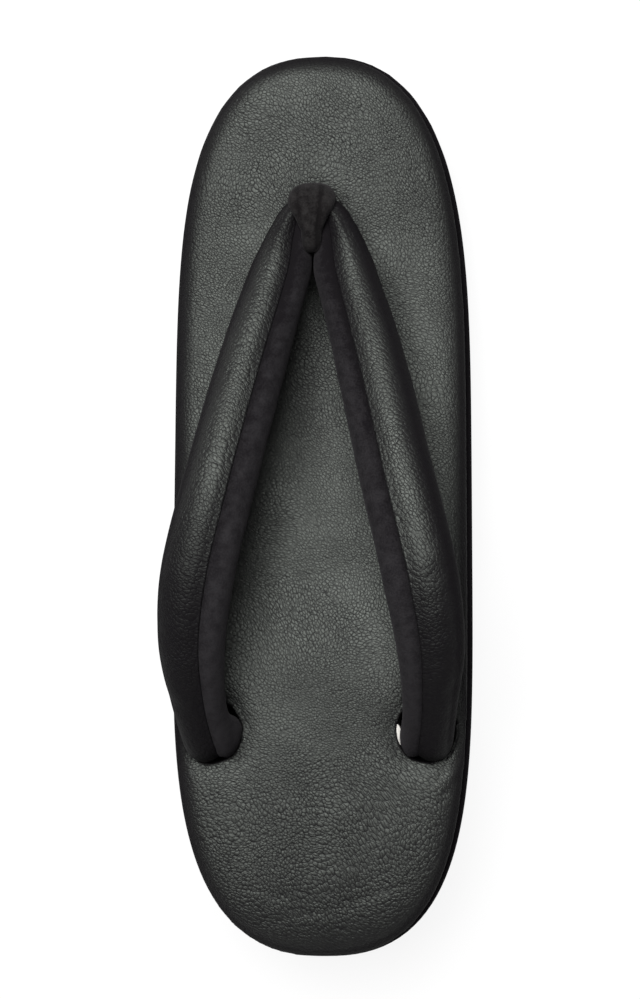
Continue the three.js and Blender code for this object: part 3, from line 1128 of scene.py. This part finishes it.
def cloth(name, low, high, nap, patch):
    """Dark cloth with a short nap: fine fibres, brushed patches of about a size and a faint sheen."""
    finish = Finish(name)
    place = finish.place()
    fibres = finish.cloud(finish.shaken(place, *FIBRE_WANDER), FIBRE_SIZE, 3.0)
    brushed = finish.cloud(place, patch)
    rear = 1 - finish.along_y(place).smooth(PALE_FULL_Y, PALE_START_Y)
    nap_tone = (PALE_NAP * (fibres + brushed)).smooth(*PALE_NAP_SPAN)
    # Painted shade, where marked, darkens the cloth
    share = nap_tone + PALE_REAR * rear + CLOTH_PAINTED_SHADE * finish.mark("shade")
    return finish.done(finish.skin({
        "Base Color": finish.blend(share, low, high),
        "Roughness": 0.98 - 0.08 * brushed,
        "Specular IOR Level": 0.1,
        "Sheen Weight": 0.04,
        "Sheen Roughness": 0.45,
        "Sheen Tint": CLOTH_SHEEN,
        "Normal": finish.normal(nap * fibres + BRUSHED_HEIGHT * brushed),
    }))


def velvet():
    return cloth("velvet", *VELVET_COLOURS, nap=0.18, patch=2.6)


def loop_cloth():
    return cloth("loop_cloth", *LOOP_COLOURS, nap=0.22, patch=2.0)


# The plain materials' colours, and the sizes of their patterns in millimetres
RUBBER_COLOURS = ((0.010, 0.010, 0.010), (0.020, 0.0195, 0.019))
RUBBER_GRIT = 0.5
RUBBER_PATCH = 12
RUBBER_CELL = 2.4
CORE_COLOURS = ((0.46, 0.44, 0.40), (0.86, 0.84, 0.80))
CORE_CRUMB = 0.6
CORE_LAYER = (6, 6, 0.8)
FLOOR_COLOURS = ((0.09, 0.09, 0.09), (0.10, 0.10, 0.10))
FLOOR_MOTTLE = 60


def outsole_rubber():
    finish = Finish("outsole_rubber")
    place = finish.place()
    grit = finish.cloud(place, RUBBER_GRIT, 3.0)
    patches = finish.cloud(place, RUBBER_PATCH)
    cells = finish.pebbles(place, 1 / RUBBER_CELL)
    return finish.done(finish.skin({
        "Base Color": finish.blend(patches, *RUBBER_COLOURS),
        "Roughness": 0.72 + 0.2 * (patches - CLOUD_MEAN),
        "Specular IOR Level": 0.35,
        "Normal": finish.normal(0.05 * grit + 0.06 * cells),
    }))


def pale_core():
    """Pale board and foam, seen at its cut edge."""
    finish = Finish("pale_core")
    place = finish.place()
    crumb = finish.cloud(place, CORE_CRUMB, 3.0)
    layers = finish.cloud(finish.turned(place, 0, CORE_LAYER), 1.0)
    return finish.done(finish.skin({
        "Base Color": finish.blend(0.5 * crumb + 0.5 * layers, *CORE_COLOURS),
        "Roughness": 0.85 + 0.1 * crumb,
        "Normal": finish.normal(0.12 * crumb + 0.08 * layers),
    }))


def floor_paint():
    finish = Finish("pale_floor")
    mottle = finish.cloud(finish.place(), FLOOR_MOTTLE, 1.0)
    return finish.done(finish.skin({
        "Base Color": finish.blend(mottle, *FLOOR_COLOURS),
        "Roughness": 0.9,
        "Specular IOR Level": 0.1,
        "Emission Color": (1, 1, 1, 1),
        "Emission Strength": 0.9,
    }))


# Camera, light and floor

def make_camera():
    camera = bpy.data.objects.new("camera", bpy.data.cameras.new("camera"))
    camera.data.lens = CAMERA_LENS
    camera.data.clip_start = CAMERA_CLIP_START
    forward = (CAMERA_AIM - CAMERA_PLACE).normalized()
    right = forward.cross(Vector((math.sin(TOE_LEAN), math.cos(TOE_LEAN), 0))).normalized()
    turn = Matrix((right, right.cross(forward), -forward)).transposed().to_4x4()
    camera.matrix_world = Matrix.Translation(CAMERA_PLACE) @ turn
    bpy.context.scene.collection.objects.link(camera)
    bpy.context.scene.camera = camera


# The one softbox, in metres and watts
SOFTBOX_PLACE = Vector((-0.12, 0.40, 1.12))
SOFTBOX_AIM = Vector((0, 0.02, 0.03))
SOFTBOX_WIDTH = 0.72
SOFTBOX_LENGTH = 0.70
SOFTBOX_POWER = 25.4
WORLD_LIGHT = (0.060, 0.052, 0.062, 1)


def make_lights():
    lamp = bpy.data.lights.new("key_softbox", "AREA")
    lamp.shape = "RECTANGLE"
    lamp.size = SOFTBOX_WIDTH
    lamp.size_y = SOFTBOX_LENGTH
    lamp.energy = SOFTBOX_POWER
    softbox = bpy.data.objects.new("key_softbox", lamp)
    softbox.location = SOFTBOX_PLACE
    softbox.rotation_mode = "QUATERNION"
    softbox.rotation_quaternion = (SOFTBOX_AIM - SOFTBOX_PLACE).to_track_quat("-Z", "Y")
    bpy.context.scene.collection.objects.link(softbox)
    world = bpy.data.worlds.new("studio")
    world.use_nodes = True
    world.node_tree.nodes["Background"].inputs["Color"].default_value = WORLD_LIGHT
    bpy.context.scene.world = world
    bpy.context.scene.view_settings.view_transform = "Standard"


# Metres from edge to edge
FLOOR_SIZE = 4.0


def make_floor():
    bm = bmesh.new()
    bmesh.ops.create_grid(bm, x_segments=1, y_segments=1, size=FLOOR_SIZE / 2 / MM)
    floor = piece_from("floor", bm)
    floor.data.materials.append(floor_paint())


# The finished sandal

def dress(piece, node):
    """Attaches a piece to the sandal's root and hides the node that it stands in for."""
    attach(piece, "root")
    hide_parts(node)


make_camera()
make_lights()
make_floor()
dress(make_outsole(), "outsole")
dress(make_sole_body(), "sole_body")
dress(make_pad(), "top_pad")
dress(make_strap(), "strap_upper")
dress(make_lining(), "strap_lining")
dress(make_toe_loop(), "toe_loop")
